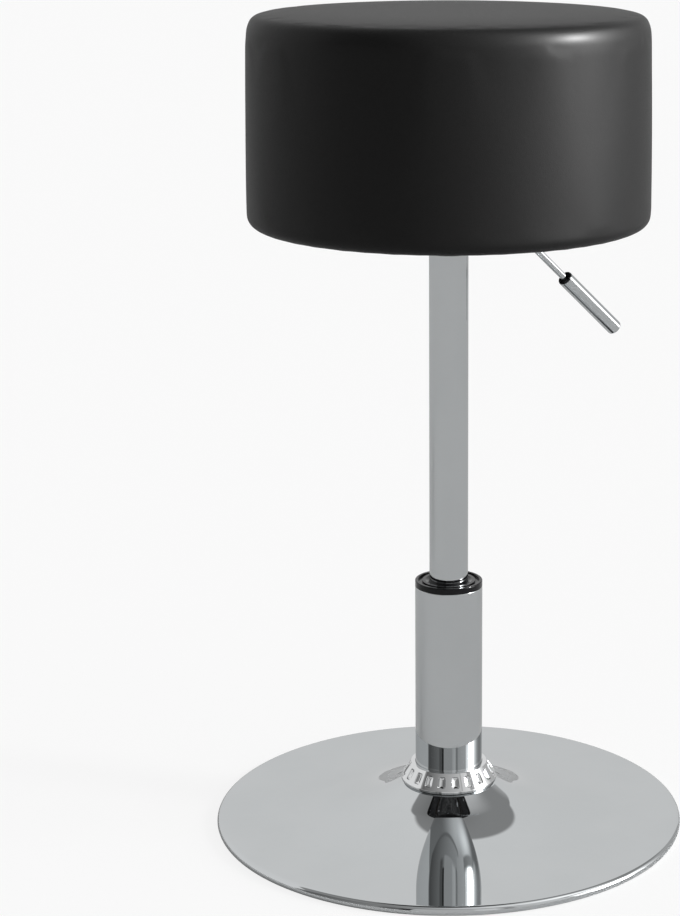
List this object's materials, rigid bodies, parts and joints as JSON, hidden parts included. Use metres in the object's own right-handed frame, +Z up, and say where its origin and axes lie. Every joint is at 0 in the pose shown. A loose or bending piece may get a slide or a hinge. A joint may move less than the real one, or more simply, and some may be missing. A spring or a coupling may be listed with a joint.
{
  "type": "swivel stool",
  "caption": "Round padded drum seat on a chromed gas-lift column with a release lever and a trumpet-shaped disc base; it swivels and its height adjusts.",
  "frame": {"origin": "middle of the base on the floor", "axes": "+Z up along the column; -Y is the front of the picture, +X to its right; the lever points 36 degrees behind +X"},
  "size_m": [0.385, 0.385, 0.6709],
  "materials": {
    "chrome_plate": "polished",
    "chrome_tube": "polished",
    "black_leather": "satin",
    "black_plastic": "satin",
    "black_rubber": "matte",
    "dark_cast_iron": "matte",
    "black_painted_steel": "satin",
    "zinc_steel": "satin",
    "brass": "satin",
    "plywood": "matte",
    "foam": "matte",
    "dust_cloth": "matte"
  },
  "bodies": {
    "base": {"base_disc": "chrome_plate", "base_ballast": "dark_cast_iron", "base_floor_ring": "black_rubber", "column_tube": "chrome_tube", "column_foot": "zinc_steel", "foot_screws": "zinc_steel", "slotted_collar": "chrome_plate", "guide_bush": "black_plastic", "lower_race": "zinc_steel", "bearing_cage": "brass", "bearing_balls": "zinc_steel"},
    "spindle": {"upper_race": "zinc_steel", "retaining_clip": "black_painted_steel", "piston_rod": "zinc_steel", "bump_stop": "black_rubber", "piston": "zinc_steel", "piston_ring": "black_rubber"},
    "lift": {"gas_cylinder": "chrome_tube", "rod_guide": "zinc_steel", "rod_seal": "black_rubber", "valve_block": "brass", "taper_socket": "black_painted_steel", "seat_bracket": "black_painted_steel", "bracket_screws": "zinc_steel", "board_tee_nuts": "zinc_steel", "pivot_clevis": "black_painted_steel", "pivot_pin": "zinc_steel", "seat_board": "plywood", "seat_ring": "plywood", "seat_foam": "foam", "seat_cover": "black_leather", "dust_cloth": "dust_cloth"},
    "valve_pin": {"release_pin": "zinc_steel"},
    "lever": {"lever_rod": "chrome_tube", "lever_grip": "chrome_plate", "grip_liner": "black_plastic"}
  },
  "joints": [
    {"name": "seat_swivel", "type": "hinge", "parent": "base", "child": "spindle", "pos_m": [0, 0, 0.054], "axis": [0, 0, 1], "continuous": true},
    {"name": "seat_height", "type": "slide", "parent": "spindle", "child": "lift", "axis": [0, 0, 1], "range_m": [-0.085, 0]},
    {"name": "lever_lift", "type": "hinge", "parent": "lift", "child": "lever", "pos_m": [0.02589, 0.01881, 0.5141], "axis": [0.5878, -0.809, 0], "range_deg": [0, 7], "stiffness_Nm_per_rad": 3, "springref_deg": -6.88},
    {"name": "pin_press", "type": "slide", "parent": "lift", "child": "valve_pin", "axis": [0, 0, -1], "range_m": [0, 0.0045]}
  ],
  "couplings": [
    {"joint": "pin_press", "follows": "lever_lift", "m_per_rad": 0.032}
  ]
}
